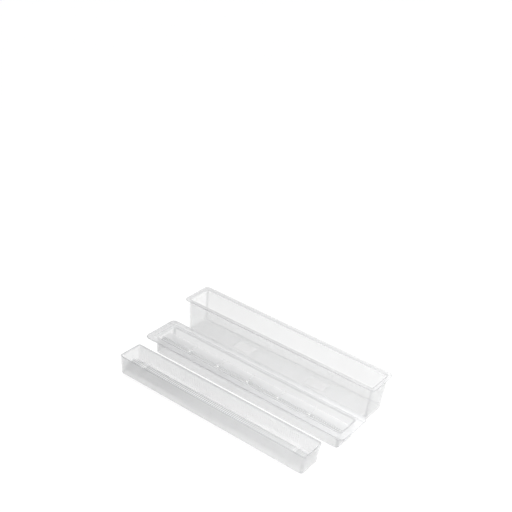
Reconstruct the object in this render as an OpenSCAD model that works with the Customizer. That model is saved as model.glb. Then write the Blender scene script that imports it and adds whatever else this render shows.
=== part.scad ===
// Rice roll mold of clear plastic: a deep outer case, a flanged mold tray that drops into the case's
// mouth, and a narrow ribbed press that stands inside the case.
// Lengths run along X, widths along Y, heights along Z. The three pieces lie side by side on one
// surface, z = 0, with the origin under the middle of the row. Sizes are in millimetres.

/* [Outer case] */
// Length over the case's rim
case_length = 210; // [160:1:260]
// Width over the case's rim
case_width = 34.6; // [32:0.2:60]
// Height of the case
case_height = 35; // [30:0.5:60]
// How far the rim stands out round the case's mouth
case_rim = 2.8; // [1:0.1:6]
// How much the case's side walls lean in from mouth to floor
case_side_draft = 1.1; // [0.2:0.1:2.5]
// How much the case's end walls lean in from mouth to floor
case_end_draft = 1.8; // [0.2:0.1:4]
// Radius of the case's upright corners
case_corner = 3; // [2.5:0.1:6]

/* [Floor pads] */
// Length of each pad on the case's floor
pad_length = 19.5; // [8:0.5:30]
// Width of each pad
pad_width = 14; // [6:0.5:18]
// Height of each pad above the floor
pad_height = 0.5; // [0.2:0.1:1.5]
// Distance between the middles of the two pads
pad_spacing = 82; // [40:1:110]

/* [Mold tray] */
// Height of the mold tray
tray_height = 17; // [14:0.5:26]
// How far the tray's flange stands out round its body
tray_flange = 7.1; // [4:0.1:12]
// Radius of the flange's corners
tray_corner = 5; // [2:0.1:9]
// How much the tray's side walls lean in from flange to foot
tray_side_draft = 0.5; // [0.2:0.1:1]
// How much the tray's end walls lean in from flange to foot
tray_end_draft = 0.9; // [0.2:0.1:1.2]
// Depth from the flange down to the top of the tray's web
tray_web_depth = 3; // [1:0.1:5]
// Width of the flat along the top of the tray's web
tray_web_flat = 9.7; // [3:0.1:12]
// Fall of the tray's web from that flat to the side walls
tray_web_fall = 6.6; // [3:0.1:8]
// Gap between the tray's body and the case's mouth, on each side
tray_clearance = 0.2; // [0.1:0.05:0.6]

/* [Ruler] */
// How many slices the ruler marks out
slice_count = 6; // [4:1:8]
// Fine ribs from one slice mark to the next
ribs_per_slice = 15; // [5:1:16]
// Width of a fine rib of the ruler
rule_rib_width = 0.7; // [0.4:0.1:1.2]
// Height of a fine rib of the ruler
rule_rib_height = 0.5; // [0.2:0.1:0.8]
// Width of a slice mark
mark_width = 2.2; // [1.2:0.1:2.6]
// Height of a slice mark
mark_height = 0.9; // [0.5:0.1:1.2]

/* [Rice press] */
// Height of the rice press
press_height = 18; // [15:0.1:24]
// How much the press's side walls lean in from mouth to foot
press_side_draft = 1; // [0.2:0.1:1.5]
// How much the press's end walls lean in from mouth to foot
press_end_draft = 1.4; // [0.2:0.1:2]
// Radius of the press's upright corners
press_corner = 2.4; // [2:0.1:4]
// Depth from the press's mouth down to the top of its web
press_web_depth = 9.9; // [5:0.1:10.5]
// Width of the flat along the top of the press's web
press_web_flat = 7.6; // [3:0.1:9]
// Fall of the press's web from that flat to the valleys beside it
press_web_fall = 4; // [2:0.1:4.6]
// Width of the flat bottom of each valley, along the side wall
press_valley_width = 2.4; // [1:0.1:3.4]
// Gap between the press's mouth and the case's side walls where it stands in the case
press_clearance = 0.15; // [0.1:0.05:0.8]
// Gap between the press's mouth and the case's end walls where it stands in the case
press_end_clearance = 1; // [0.1:0.05:3]
// Spacing of the ribs across the press
press_rib_pitch = 2; // [1.6:0.1:4]
// Width of a rib of the press
press_rib_width = 0.9; // [0.4:0.1:1.2]
// Height of a rib over the press's web
press_rib_height = 0.5; // [0.2:0.1:0.8]
// Depth from the press's mouth down to where its ribs begin
press_rib_depth = 2.8; // [1.5:0.1:5]
// Distance from each end of the press to its partition
partition_inset = 17.5; // [10:0.5:30]
// Length of the smooth band across the web over each partition
band_length = 4; // [2:0.5:8]
// Length of each ledge in the press's valleys
ledge_length = 56; // [30:1:70]
// Height of a ledge above the bottom of its valley, which it fills from the slope to the wall
ledge_height = 1.2; // [0.6:0.1:2]

/* [Plastic] */
// Thickness of the walls
wall = 1.2; // [0.9:0.05:1.6]
// Thickness of the floor and the webs
floor_thickness = 1.5; // [1:0.1:2.4]
// Thickness of the rims and flanges
rim_thickness = 1.6; // [1:0.1:2.5]
// Rounding of the case's lower edges
foot_round = 1; // [0.3:0.1:1.4]
// Rounding of the lower edges of the tray and the press
skirt_round = 0.3; // [0.1:0.05:0.5]
// Rounding of the rims' outer edges
edge_round = 0.4; // [0.2:0.1:0.6]
// Rounding of the inner edge of the case's mouth
mouth_round = 1.3; // [0.4:0.1:1.5]
// Rounding of the inner edge of the tray's flange
flange_round = 2.2; // [0.6:0.1:2.4]
// Rounding of the inner edge of the press's mouth
lip_round = 0.7; // [0.3:0.1:0.9]
// Height of the fine ribs on the inner faces of the side walls
wall_rib_height = 0.25; // [0.1:0.05:0.4]

/* [Lay-out] */
// Gap between the case's rim and the tray's flange as they lie
case_tray_gap = 12.5; // [1:0.1:40]
// Gap between the tray's flange and the press as they lie
tray_press_gap = 14.1; // [1:0.1:40]
// How far the case lies towards -X of the tray
case_shift = 2; // [-20:0.1:20]
// How far the press lies towards -X of the tray
press_shift = 2; // [-20:0.1:20]

/* [Hidden] */

skin = 0.01;          // thickness of the outline plates that a hull joins
corner_steps = 6;     // straight pieces in each rounded corner of an outline
foot_step = 30;       // degrees from one outline to the next round a lower edge

// Sizes that follow from those above. A size is [along X, along Y].
both = [1, 1];
case_size = [case_length, case_width];
case_draft = [case_end_draft, case_side_draft];
case_body = case_size - 2 * case_rim * both;
case_mouth = case_body - 2 * wall * both;
case_floor = case_mouth - 2 * case_draft;

tray_draft = [tray_end_draft, tray_side_draft];
tray_body = case_mouth - 2 * tray_clearance * both;
tray_size = tray_body + 2 * tray_flange * both;
tray_mouth = tray_body - 2 * wall * both;
tray_web_top = tray_height - tray_web_depth;
tray_skirt = tray_body - 2 * tray_draft - 2 * wall * both;

press_draft = [press_end_draft, press_side_draft];
press_rise = (floor_thickness + press_height) / case_height;
press_body = case_floor + 2 * case_draft * press_rise - 2 * [press_end_clearance, press_clearance];
press_mouth = press_body - 2 * wall * both;
press_web_top = press_height - press_web_depth;
press_skirt = press_body - 2 * press_draft - 2 * wall * both;
press_valley = press_web_top - press_web_fall;
press_valley_side = wall_from_middle(press_valley);
press_slope_end = press_valley_side - press_valley_width;

row_depth = case_width + case_tray_gap + tray_size[1] + tray_press_gap + press_body[1];
case_at = [-case_shift, (row_depth - case_width) / 2, 0];
press_at = [-press_shift, -(row_depth - press_body[1]) / 2, 0];
tray_at = [0, press_at[1] + (press_body[1] + tray_size[1]) / 2 + tray_press_gap, 0];

slice_length = tray_skirt[0] / slice_count;
rule_pitch = slice_length / ribs_per_slice;

// Points of a rectangle with rounded corners, centred on the origin
function round_rect(size, radius) = [
    for (turn = [0:3], step = [0:corner_steps])
        let (
            a = 90 * (turn + step / corner_steps),
            sx = (turn == 0 || turn == 3) ? 1 : -1,
            sy = turn < 2 ? 1 : -1
        )
        [sx * (size[0] / 2 - radius) + radius * cos(a),
         sy * (size[1] / 2 - radius) + radius * sin(a)]
];

module plate(size, radius, thickness) {
    linear_extrude(thickness) polygon(round_rect(size, radius));
}

// A block whose outline is mouth at z = height and leans in by draft to z = 0, where its lower edge
// is rounded. It goes on at the same slope for rise above the mouth.
module drafted_block(mouth, draft, height, corner, foot, rise = 0) {
    hull() {
        translate([0, 0, height + rise - skin])
            plate(mouth + 2 * draft * rise / height, corner, skin);
        for (a = [0:foot_step:90])
            translate([0, 0, foot * (1 - cos(a))])
                plate(mouth - 2 * draft - 2 * foot * (1 - sin(a)) * both,
                      corner - foot * (1 - sin(a)), skin);
    }
}

// A flat rim whose upper and lower outer edges are eased
module rim(size, corner) {
    hull() {
        plate(size - 2 * edge_round * both, corner - edge_round, rim_thickness);
        translate([0, 0, edge_round]) plate(size, corner, rim_thickness - 2 * edge_round);
    }
}

// The cut that rounds the inner edge of a mouth whose top is at z = 0, in two slopes
module mouth_cut(mouth, corner, radius) {
    bend = radius * (1 - cos(45));
    hull() {
        translate([0, 0, -radius]) plate(mouth, corner, skin);
        translate([0, 0, -bend]) plate(mouth + 2 * bend * both, corner + bend, skin);
    }
    hull() {
        translate([0, 0, -bend]) plate(mouth + 2 * bend * both, corner + bend, skin);
        plate(mouth + 2 * radius * both, corner + radius, skin);
    }
}

// A profile drawn in [y, z] and extruded along X, centred on x = 0
module along_x(length) {
    translate([-length / 2, 0, 0]) rotate([90, 0, 90]) linear_extrude(length) children();
}

// Height of a web's upper face at a distance y from its middle line. Its slopes end at half.
function web_z(y, top, flat, fall, half) =
    top - fall * min(1, max(0, abs(y) - flat / 2) / (half - flat / 2));

// Distance from the press's middle line to the inner face of its side wall, at a height
function wall_from_middle(z) = press_mouth[1] / 2 - press_side_draft * (1 - z / press_height);

// Everything above a web: its flat, its two slopes and what lies beside them, up past the mouth
module above_web(top, flat, fall, half, height) {
    side = half + wall + 2 * press_valley_width;
    polygon([
        [-side, top - fall], [-half, top - fall], [-flat / 2, top], [flat / 2, top],
        [half, top - fall], [side, top - fall], [side, height], [-side, height]
    ]);
}

// The channel under a web, which keeps the web's thickness and has upright sides
module below_web(top, flat, fall, half, side) {
    stops = [for (y = [-side, -half, -flat / 2, flat / 2, half, side]) if (abs(y) <= side) y];
    polygon(concat(
        [[-side, -1]],
        [for (y = stops) [y, web_z(y, top - floor_thickness, flat, fall, half)]],
        [[side, -1]]
    ));
}

// A rib laid on a web from y = from to y = to, standing height above it and sunk a little into it
module web_rib(x, width, height, from, to, top, flat, fall, half) {
    stops = [for (y = [from, -flat / 2, flat / 2, to]) if (y >= from && y <= to) y];
    sunk = floor_thickness / 4;
    translate([x, 0, 0]) along_x(width) polygon(concat(
        [for (y = stops) [y, web_z(y, top, flat, fall, half) + height]],
        [for (i = [len(stops) - 1:-1:0])
            [stops[i], web_z(stops[i], top, flat, fall, half) - sunk]]
    ));
}

// ---- Outer case: a deep drafted box with a narrow rim and two pads on its floor ----

module floor_pads() {
    for (side = [-1, 1])
        translate([side * pad_spacing / 2, 0, floor_thickness - skin])
            plate([pad_length, pad_width], pad_height, pad_height + skin);
}

module outer_case() {
    color([0.93, 0.95, 0.97, 0.4]) translate(case_at) {
        difference() {
            union() {
                drafted_block(case_body, case_draft, case_height, case_corner, foot_round);
                translate([0, 0, case_height - rim_thickness])
                    rim(case_size, case_corner + case_rim / 2);
            }
            translate([0, 0, floor_thickness])
                drafted_block(case_mouth, case_draft, case_height - floor_thickness,
                              case_corner - wall, foot_round / 2, 1);
            translate([0, 0, case_height]) mouth_cut(case_mouth, case_corner - wall, mouth_round);
        }
        floor_pads();
    }
}

// ---- Mold tray: wide flange, and a web like a low ridge between two walls ----

module tray_hollows() {
    half = tray_mouth[1] / 2;
    intersection() {
        drafted_block(tray_mouth, tray_draft, tray_height, case_corner - wall, foot_round / 2, 1);
        along_x(tray_size[0])
            above_web(tray_web_top, tray_web_flat, tray_web_fall, half, tray_height + 1);
    }
    translate([0, 0, tray_height]) mouth_cut(tray_mouth, case_corner - wall, flange_round);
    along_x(tray_skirt[0])
        below_web(tray_web_top, tray_web_flat, tray_web_fall, half, tray_skirt[1] / 2);
}

module ruler() {
    half = tray_mouth[1] / 2;
    for (i = [1:slice_count * ribs_per_slice - 1]) {
        is_mark = i % ribs_per_slice == 0;
        width = is_mark ? mark_width : rule_rib_width;
        height = is_mark ? mark_height : rule_rib_height;
        back = is_mark ? tray_web_flat / 2 : -tray_web_flat / 2;
        web_rib(i * rule_pitch - tray_skirt[0] / 2, width, height, -half, back,
                tray_web_top, tray_web_flat, tray_web_fall, half);
    }
}

// Fine upright ribs on the inner faces of the tray's skirt, in line with the ruler
module channel_ribs() {
    side = tray_skirt[1] / 2;
    edge = web_z(side, tray_web_top - floor_thickness / 2, tray_web_flat, tray_web_fall,
                 tray_mouth[1] / 2);
    foot = skirt_round + wall_rib_height;
    for (i = [1:slice_count * ribs_per_slice - 1], front = [true, false])
        translate([i * rule_pitch - tray_skirt[0] / 2 - rule_rib_width / 2,
                   front ? -side - wall / 4 : side - wall_rib_height, foot])
            cube([rule_rib_width, wall / 4 + wall_rib_height, edge - foot]);
}

module mold_tray() {
    color([0.93, 0.95, 0.97, 0.4]) translate(tray_at) {
        difference() {
            union() {
                drafted_block(tray_body, tray_draft, tray_height, case_corner, skirt_round);
                translate([0, 0, tray_height - rim_thickness]) rim(tray_size, tray_corner);
            }
            tray_hollows();
        }
        ruler();
        channel_ribs();
    }
}

// ---- Rice press: narrow, without a flange, with a ribbed web, partitions and ledges ----

module press_hollows() {
    intersection() {
        drafted_block(press_mouth, press_draft, press_height, press_corner - wall,
                      foot_round / 2, 1);
        along_x(press_body[0])
            above_web(press_web_top, press_web_flat, press_web_fall, press_slope_end,
                      press_height + 1);
    }
    translate([0, 0, press_height]) mouth_cut(press_mouth, press_corner - wall, lip_round);
    difference() {
        along_x(press_skirt[0])
            below_web(press_web_top, press_web_flat, press_web_fall, press_slope_end,
                      press_skirt[1] / 2);
        for (side = [-1, 1])
            translate([side * (press_body[0] / 2 - partition_inset) - wall / 2,
                       -press_body[1] / 2, -1])
                cube([wall, press_body[1], press_height]);
    }
}

// One rib that comes down a side wall, crosses the web and goes up the other wall
module press_rib(x) {
    flat = press_web_flat / 2;
    start = press_height - press_rib_depth;
    high = wall_from_middle(start);
    low = press_valley_side;
    sunk = wall / 4;
    stops = [
        [flat, press_web_top + press_rib_height],
        [press_slope_end, press_valley + press_rib_height],
        [low - wall_rib_height, press_valley + press_rib_height],
        [high - wall_rib_height, start],
        [high + sunk, start],
        [low + sunk, press_valley - sunk],
        [press_slope_end, press_valley - sunk],
        [flat, press_web_top - sunk]
    ];
    translate([x, 0, 0]) along_x(press_rib_width) polygon(concat(
        stops, [for (k = [len(stops) - 1:-1:0]) [-stops[k][0], stops[k][1]]]
    ));
}

module press_ribs() {
    count = floor((press_skirt[0] / 2 - press_rib_pitch / 2) / press_rib_pitch);
    band = press_body[0] / 2 - partition_inset;
    for (i = [-count:count])
        if (abs(abs(i * press_rib_pitch) - band) > band_length / 2)
            press_rib(i * press_rib_pitch);
}

module ledges() {
    band = press_body[0] / 2 - partition_inset;
    for (end = [-1, 1], side = [-1, 1])
        translate([end > 0 ? band - ledge_length : -band,
                   side > 0 ? press_slope_end : -press_valley_side - wall / 4,
                   press_valley - floor_thickness / 2])
            cube([ledge_length, press_valley_width + wall / 4, floor_thickness / 2 + ledge_height]);
}

module rice_press() {
    color([0.93, 0.95, 0.97, 0.4]) translate(press_at) {
        difference() {
            drafted_block(press_body, press_draft, press_height, press_corner, skirt_round);
            press_hollows();
        }
        press_ribs();
        ledges();
    }
}

outer_case();
mold_tray();
rice_press();
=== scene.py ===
import bpy
from mathutils import Matrix, Vector


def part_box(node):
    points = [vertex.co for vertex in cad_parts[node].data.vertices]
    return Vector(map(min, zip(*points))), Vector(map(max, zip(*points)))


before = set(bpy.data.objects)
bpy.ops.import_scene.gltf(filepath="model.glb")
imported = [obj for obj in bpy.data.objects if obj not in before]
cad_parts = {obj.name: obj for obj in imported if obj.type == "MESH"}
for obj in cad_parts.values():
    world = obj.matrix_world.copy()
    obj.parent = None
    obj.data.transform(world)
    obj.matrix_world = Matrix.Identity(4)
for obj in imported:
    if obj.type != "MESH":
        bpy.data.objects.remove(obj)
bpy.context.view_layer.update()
scene = bpy.context.scene
scene.view_settings.view_transform = "Standard"

# ---- Camera: its place is measured from the front left corner of the outer case, in metres ----

CAMERA_FROM_CASE = (0.4617, -0.5754, 0.4775)
CAMERA_LOOKS = (-0.4887, 0.7373, -0.4664)
CAMERA_RIGHT = (0.7997, 0.5923, 0.0984)
LENS_MM = 63.23
SENSOR_MM = 36.0
SHIFT = (-0.0074, -0.001)
CLIP = (0.01, 20)

# ---- Floor, surroundings and lamps, in metres and watts ----

FLOOR_SIZE = 6.0
FLOOR_DROP = 0.0002         # how far the floor lies below the pieces' feet
FLOOR_GLOW = 0.98           # white of the open floor, as it is seen
FLOOR_TONE = 0.15           # tone of the seen floor that takes the lamps' light and the shadows
FLOOR_BOUNCE = 0.9          # tone of the floor as the pieces are lit by it
FLOOR_ROUGHNESS = 0.9
FLOOR_SPECULAR = 0.1
CONTACT_REACH = 0.015       # how near the pieces the floor loses some of its white
CONTACT_RANGE = (0.3, 0.75)  # openness of the floor in full contact shade, and in none
CONTACT_SHADE = 0.2         # share of its white that the floor loses in full contact shade
CONTACT_SAMPLES = 16
WORLD_LIGHT = 0.03          # level of the surroundings as light for the pieces
LAMPS = {
    "top": {"place": (0.2, 0.0, 0.6), "aim": (0.1, 0, 0), "size": 0.4, "power": 1.4},
    "key": {"place": (0.24, 0.05, 0.33), "aim": (0.1, 0.02, 0), "size": 0.2, "power": 1.25},
    "front": {"place": (0.0, -0.7, 0.35), "aim": (0, 0, 0), "size": 0.5, "power": 0.35},
}

# ---- Plastic ----

# CASE_TINT is lighter than TINT: painted light, for the stronger light that falls on the case
TINT = (0.88, 0.883, 0.89)
CASE_TINT = (0.93, 0.933, 0.94)
# Painted light: a pale tone put on ribs, marks, ledges, bands and pads, where they look lit
PAINTED_LIGHT_PALE = (0.96, 0.96, 0.965)
# Painted shade: a grey tone put on edges, rims, feet, corners and rib strips, where dark lines and shadow are
# seen
PAINTED_SHADE_GREY = (0.6, 0.61, 0.62)
CASE_HAZE = 0.22            # share of the light that the case's haze takes, where nothing adds to it
LOOSE_HAZE = 0.32           # the same for the tray and the press
LEAST_HAZE = 0.03
IOR = 1.49
ROUGHNESS = (0.21, 0.39)    # over the range of the fine scuffs
SCUFFS = {"scale": 420, "detail": 3}
FLOW = {"scale": 60, "detail": 2}
FLOW_RANGE = (0.3, 0.7)     # range of the flow noise that changes the haze
FLOW_CHANGE = 0.03          # share by which the flow noise raises or lowers the haze
LIGHT_THROUGH = 0.75        # share of the haze that light falling on it passes
FORWARD_SHARE = 0.5         # share of the light on a hazy wall that it shows on its other side
ROUNDED_BELOW = 0.95        # a face is part of a rounding if no part of its normal reaches this

# ---- Camera ----

def add_camera():
    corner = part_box("outer_case")[0]
    back = -Vector(CAMERA_LOOKS).normalized()
    right = Vector(CAMERA_RIGHT).normalized()
    right = (right - back * right.dot(back)).normalized()
    turn = Matrix((right, back.cross(right), back)).transposed()
    data = bpy.data.cameras.new("camera")
    data.sensor_width = SENSOR_MM
    data.lens = LENS_MM
    data.shift_x, data.shift_y = SHIFT
    data.clip_start, data.clip_end = CLIP
    camera = bpy.data.objects.new("camera", data)
    scene.collection.objects.link(camera)
    place = Vector((corner.x, corner.y, 0)) + Vector(CAMERA_FROM_CASE)
    camera.matrix_world = Matrix.Translation(place) @ turn.to_4x4()
    scene.camera = camera


# ---- Shader graphs ----

class Graph:
    """The nodes of a material or a world. An input is given a number, a colour or another node's output."""

    def __init__(self, owner):
        owner.use_nodes = True
        self.nodes = owner.node_tree.nodes
        self.links = owner.node_tree.links

    def put(self, value, socket):
        if isinstance(value, bpy.types.NodeSocket):
            self.links.new(value, socket)
        elif isinstance(value, tuple):
            socket.default_value = (*value, 1)
        else:
            socket.default_value = value

    def fill(self, node, inputs):
        for name, value in inputs.items():
            self.put(value, node.inputs[name])

    def node(self, kind, inputs=None, **settings):
        made = self.nodes.new(kind)
        for name, value in settings.items():
            setattr(made, name, value)
        self.fill(made, inputs or {})
        return made

    def maths(self, operation, *values):
        return self.node("ShaderNodeMath", dict(enumerate(values)), operation=operation).outputs[0]

    def spread(self, value, low, high, to_low, to_high):
        """A value's range from low to high, mapped to another range and held inside it."""
        inputs = {"Value": value, "From Min": low, "From Max": high, "To Min": to_low, "To Max": to_high}
        return self.node("ShaderNodeMapRange", inputs).outputs["Result"]

    def mixed(self, share, one, other):
        """A mix of two colours."""
        inputs = {"Factor": share, "A": one, "B": other}
        return self.node("ShaderNodeMix", inputs, data_type="RGBA").outputs["Result"]

    def mix_shaders(self, share, one, other):
        return self.node("ShaderNodeMixShader", {0: share, 1: one, 2: other}).outputs[0]

    def noise(self, coords, scale, detail):
        inputs = {"Vector": coords, "Scale": scale, "Detail": detail}
        return self.node("ShaderNodeTexNoise", inputs).outputs["Fac"]

    def axes(self, vector):
        return self.node("ShaderNodeSeparateXYZ", {0: vector}).outputs

    def near(self, value, middle, reach):
        """1 where a value lies within reach of middle, else 0."""
        return self.maths("COMPARE", value, middle, reach)

    def inside(self, xyz, low, high):
        """1 inside a box given by its low and high corners, else 0."""
        share = None
        for value, least, most in zip(xyz, low, high):
            one = self.near(value, (least + most) / 2, (most - least) / 2)
            share = one if share is None else self.maths("MULTIPLY", share, one)
        return share

    def comb(self, x, middle, pitch, width):
        """1 on teeth of a width that repeat along X, one of them at middle."""
        offset = self.maths("WRAP", self.maths("SUBTRACT", x, middle), pitch / 2, -pitch / 2)
        return self.near(offset, 0.0, width / 2)

    def rounded(self):
        """1 on rounded edges and corners, whose normal lies along no axis, else 0."""
        normal = self.axes(self.node("ShaderNodeNewGeometry").outputs["Normal"])
        x, y, z = (self.maths("ABSOLUTE", part) for part in normal)
        most = self.maths("MAXIMUM", self.maths("MAXIMUM", x, y), z)
        return self.maths("LESS_THAN", most, ROUNDED_BELOW)

    def seen(self):
        """1 for sight, also by mirroring or through glass, 0 for the light that falls on things."""
        path = self.node("ShaderNodeLightPath").outputs
        mirrored = self.maths("MAXIMUM", path["Is Camera Ray"], path["Is Glossy Ray"])
        return self.maths("MAXIMUM", mirrored, path["Is Transmission Ray"])


# ---- Plastic: clear, with a milky haze that differs by zone, painted shade and painted light in some zones, and fine scuffs ----
# Zones are in millimetres, with x and y from the middle of a piece and z from its foot

SIDES = (-1, 1)
ALL_X = (-120, 120)
ALL_Y = (-30, 30)
FACE = 0.3                  # reach of a zone above and below a flat face
MM_IN_M = 1000


def about(middle, size):
    """The range of a size about a middle."""
    return middle - size / 2, middle + size / 2


def zone(z, extra, x=ALL_X, y=ALL_Y, shade=None, teeth=None, rounded=False):
    """Where the haze gets extra density and a painted tone, grey for painted shade and pale for painted
    light. Teeth are the middle of one, their pitch and width.
    """
    return {"ranges": (x, y, z), "extra": extra, "shade": shade, "teeth": teeth, "rounded": rounded}


def zone_share(graph, xyz, node, where):
    """1 inside a zone of a node, else 0."""
    node_low, node_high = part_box(node)
    middle = ((node_low.x + node_high.x) / 2, (node_low.y + node_high.y) / 2, 0)
    low, high = ([m + r[end] / MM_IN_M for m, r in zip(middle, where["ranges"])] for end in (0, 1))
    share = graph.inside(xyz, low, high)
    if where["teeth"]:
        offset, pitch, width = (size / MM_IN_M for size in where["teeth"])
        teeth = graph.comb(xyz[0], middle[0] + offset, pitch, width)
        share = graph.maths("MULTIPLY", share, teeth)
    return share


def clear_plastic(node, tint, density, zones):
    """A node's plastic. Each zone in turn changes the haze and the tone that the ones before it gave."""
    plastic = bpy.data.materials.new("clear_" + node)
    graph = Graph(plastic)
    coords = graph.node("ShaderNodeTexCoord").outputs["Object"]
    xyz = graph.axes(coords)
    rounded = graph.rounded()

    flow = graph.noise(coords, **FLOW)
    haze = graph.spread(flow, *FLOW_RANGE, density * (1 - FLOW_CHANGE), density * (1 + FLOW_CHANGE))
    tone = tint
    for where in zones:
        share = zone_share(graph, xyz, node, where)
        if where["rounded"]:
            share = graph.maths("MULTIPLY", share, rounded)
        haze = graph.maths("MULTIPLY_ADD", share, where["extra"], haze)
        # A grey zone tone paints shade into the colour, and a pale one paints light
        if where["shade"]:
            tone = graph.mixed(share, tone, where["shade"])
    haze = graph.maths("MAXIMUM", graph.maths("MINIMUM", haze, 1.0), LEAST_HAZE)

    # The haze scatters light forwards, so most of what falls on it still gets through
    path = graph.node("ShaderNodeLightPath").outputs
    falling = graph.maths("MAXIMUM", path["Is Shadow Ray"], path["Is Diffuse Ray"])
    haze = graph.maths("MULTIPLY", haze, graph.maths("MULTIPLY_ADD", falling, -LIGHT_THROUGH, 1.0))

    scuffs = graph.spread(graph.noise(coords, **SCUFFS), 0, 1, *ROUGHNESS)
    front = graph.nodes["Principled BSDF"]
    graph.fill(front, {"Base Color": tone, "Roughness": scuffs, "IOR": IOR})
    through = graph.node("ShaderNodeBsdfTranslucent", {"Color": tone})
    milky = graph.mix_shaders(FORWARD_SHARE, front.outputs[0], through.outputs[0])
    clear = graph.node("ShaderNodeBsdfTransparent")
    surface = graph.mix_shaders(haze, clear.outputs[0], milky)
    graph.fill(graph.nodes["Material Output"], {"Surface": surface})
    return plastic


# ---- Zones of the outer case ----

PAD_AT = 41                 # middle of a pad, to each side
PAD_LENGTH = 19.5
PAD_WIDTH = 14
PAD_TOP = 2.0
BACK_FOOT_X = (-103, 103)   # the line where the back wall meets the floor
BACK_FOOT_Y = (11.2, 12.9)
BACK_FOOT_Z = (1.4, 2.6)
FRONT_WALL_Y = (-15, -12)
FRONT_WALL_Z = (1.6, 33)
CASE_Z = (0, 36)
CASE_RIM_Z = (33, 36)

case_zones = [
    # Pads: clearer haze, with a pale tone that is painted light
    *(zone(about(height, 2 * FACE), extra, about(side * PAD_AT, PAD_LENGTH), about(0, PAD_WIDTH), PAINTED_LIGHT_PALE)
      for side in SIDES for height, extra in ((PAD_TOP, -0.2), (0, -0.1))),
    # Painted shade: a grey line where the back wall meets the floor
    zone(BACK_FOOT_Z, 0.11, BACK_FOOT_X, BACK_FOOT_Y, PAINTED_SHADE_GREY),
    # Painted shade: grey on the rounded edges and corners
    zone(CASE_Z, 0.05, shade=PAINTED_SHADE_GREY, rounded=True),
    zone(CASE_RIM_Z, 0.1),
    zone(FRONT_WALL_Z, -0.05, y=FRONT_WALL_Y),
]

# ---- Zones of the mold tray ----

FLANGE_Z = (15, 18)
FLANGE_Y = (14.2, 21)       # from the body to beyond the flange's edge
FLANGE_END_AT = 105.5
FLANGE_END = 7
BACK_MOUTH_Y = (12.2, 13.2)  # the line where the mouth meets the flange at the back
BACK_MOUTH_Z = (15.5, 18)
TRAY_RIM_Z = (14.9, 18)
TRAY_FOOT_Z = (0, 1.2)
TRAY_CORNER_AT = (99.5, 12.25)
TRAY_CORNER = (7, 3.5)
TRAY_CORNER_Z = (1.2, 15)
RULER_X = (-98, 98)
MARKS_X = (-70, 70)
RULER_Y = (-7, -4.6)
RULER_Z = (12, 14.1)
RULER_RIBS_Z = (12, 15)
MARKS_Z = (12, 15.2)
MARK_SHADES_Z = (12, 14.2)
SLICE = 32.9
RULER_PITCH = SLICE / 15
RULER_RIB = 0.8
MARK = 2.3
MARK_SHADE_AT = 1.8         # from the middle of a mark to the dark line beside it
MARK_SHADE = 1.3

tray_zones = [
    zone(FLANGE_Z, 0.15, y=(-FLANGE_Y[1], -FLANGE_Y[0])),
    zone(FLANGE_Z, 0.2, y=FLANGE_Y),
    *(zone(FLANGE_Z, 0.2, about(end * FLANGE_END_AT, FLANGE_END), about(0, 2 * FLANGE_Y[0]))
      for end in SIDES),
    # Painted shade: a grey line where the mouth meets the flange at the back
    zone(BACK_MOUTH_Z, 0.12, y=BACK_MOUTH_Y, shade=PAINTED_SHADE_GREY),
    # Painted shade: grey on the rounded edges of the rim, the foot and the corners
    zone(TRAY_RIM_Z, 0.05, shade=PAINTED_SHADE_GREY, rounded=True),
    zone(TRAY_FOOT_Z, 0.08, shade=PAINTED_SHADE_GREY, rounded=True),
    *(zone(TRAY_CORNER_Z, 0.1, about(end * TRAY_CORNER_AT[0], TRAY_CORNER[0]),
           about(side * TRAY_CORNER_AT[1], TRAY_CORNER[1]), PAINTED_SHADE_GREY, rounded=True)
      for end in SIDES for side in SIDES),
    # Painted shade: a grey ruler strip, and in it pale ribs and marks, which are painted highlights
    zone(RULER_Z, 0.3, RULER_X, RULER_Y, PAINTED_SHADE_GREY),
    zone(RULER_RIBS_Z, -1.0, RULER_X, RULER_Y, PAINTED_LIGHT_PALE, teeth=(0, RULER_PITCH, RULER_RIB)),
    zone(MARKS_Z, -1.0, MARKS_X, RULER_Y, PAINTED_LIGHT_PALE, teeth=(0, SLICE, MARK)),
    # Painted shade: a grey line beside each mark
    zone(MARK_SHADES_Z, 0.6, MARKS_X, RULER_Y, PAINTED_SHADE_GREY, teeth=(MARK_SHADE_AT, SLICE, MARK_SHADE)),
]

# ---- Zones of the rice press ----

PRESS_RIM_Z = (17.2, 19)
PRESS_FOOT_Z = (0, 3)
CROWN_X = (-96, 96)
CROWN_Y = (-4, 4)
CROWN_Z = (6.8, 8.3)
PRESS_RIBS_Z = (6.8, 9)
PRESS_PITCH = 2.0
PRESS_RIB = 1.0
LEDGE_AT = (53.7, 9.45)     # middle of a ledge, to each side
LEDGE = (56.2, 2.7)
LEDGE_TOP = 5.3
BAND_AT = 81.7
BAND = 4.0
BAND_Z = (7, 9)

press_zones = [
    # Painted shade: a grey rim
    zone(PRESS_RIM_Z, 0.14, shade=PAINTED_SHADE_GREY),
    # Painted shade: a grey crown, and on it pale ribs, which are painted highlights
    zone(CROWN_Z, 0.4, CROWN_X, CROWN_Y, PAINTED_SHADE_GREY),
    zone(PRESS_RIBS_Z, -1.5, CROWN_X, CROWN_Y, PAINTED_LIGHT_PALE, teeth=(0, PRESS_PITCH, PRESS_RIB)),
    # Painted highlights: pale tops of the ledges
    *(zone(about(LEDGE_TOP, 2 * FACE), -0.2, about(end * LEDGE_AT[0], LEDGE[0]),
           about(side * LEDGE_AT[1], LEDGE[1]), PAINTED_LIGHT_PALE)
      for end in SIDES for side in SIDES),
    # Painted light: pale bands across the crown
    *(zone(BAND_Z, -0.3, about(side * BAND_AT, BAND), CROWN_Y, PAINTED_LIGHT_PALE) for side in SIDES),
    # Painted shade: grey on the rounded edges of the foot
    zone(PRESS_FOOT_Z, 0.08, shade=PAINTED_SHADE_GREY, rounded=True),
]


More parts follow.
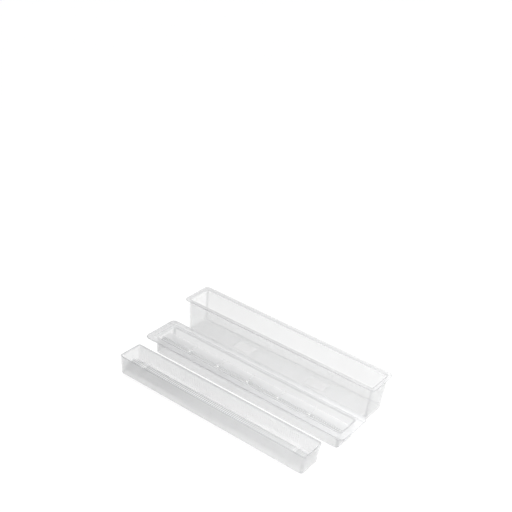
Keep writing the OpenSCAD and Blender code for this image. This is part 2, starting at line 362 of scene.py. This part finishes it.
def dress(node, tint, density, zones):
    plastic = clear_plastic(node, tint, density, zones)
    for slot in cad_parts[node].material_slots:
        slot.material = plastic


# ---- Floor and surroundings ----

def add_floor():
    bpy.ops.mesh.primitive_plane_add(size=FLOOR_SIZE, location=(0, 0, -FLOOR_DROP))
    floor = bpy.context.object
    floor.name = "floor"
    white = bpy.data.materials.new("floor_white")
    graph = Graph(white)
    seen = graph.seen()
    matt = graph.nodes["Principled BSDF"]
    tone = graph.mixed(seen, (FLOOR_BOUNCE,) * 3, (FLOOR_TONE,) * 3)
    graph.fill(matt, {"Base Color": tone, "Roughness": FLOOR_ROUGHNESS, "Specular IOR Level": FLOOR_SPECULAR})
    # The floor's glow is darkened near the pieces by ambient occlusion: a painted contact shadow
    contact = graph.node("ShaderNodeAmbientOcclusion", {"Distance": CONTACT_REACH}, samples=CONTACT_SAMPLES)
    shaded = FLOOR_GLOW * (1 - CONTACT_SHADE)
    level = graph.spread(contact.outputs["AO"], *CONTACT_RANGE, shaded, FLOOR_GLOW)
    glow = graph.node("ShaderNodeEmission", {"Strength": graph.maths("MULTIPLY", seen, level)})
    both = graph.node("ShaderNodeAddShader", {0: matt.outputs[0], 1: glow.outputs[0]})
    graph.fill(graph.nodes["Material Output"], {"Surface": both.outputs[0]})
    floor.data.materials.append(white)


def add_surroundings():
    """White to look at, and a low level of light for the pieces."""
    scene.world = bpy.data.worlds.new("studio")
    graph = Graph(scene.world)
    graph.nodes.clear()
    light, white = (graph.node("ShaderNodeBackground", {"Color": (1, 1, 1), "Strength": level})
                    for level in (WORLD_LIGHT, 1.0))
    surface = graph.mix_shaders(graph.seen(), light.outputs[0], white.outputs[0])
    graph.node("ShaderNodeOutputWorld", {"Surface": surface})


def add_lamp(name, place, aim, size, power):
    data = bpy.data.lights.new(name, "AREA")
    data.shape = "SQUARE"
    data.size = size
    data.energy = power
    lamp = bpy.data.objects.new(name, data)
    scene.collection.objects.link(lamp)
    lamp.location = place
    lamp.rotation_euler = (Vector(aim) - Vector(place)).to_track_quat("-Z", "Y").to_euler()


add_camera()
dress("outer_case", CASE_TINT, CASE_HAZE, case_zones)
dress("mold_tray", TINT, LOOSE_HAZE, tray_zones)
dress("rice_press", TINT, LOOSE_HAZE, press_zones)
add_floor()
add_surroundings()
for name, settings in LAMPS.items():
    add_lamp(name, **settings)
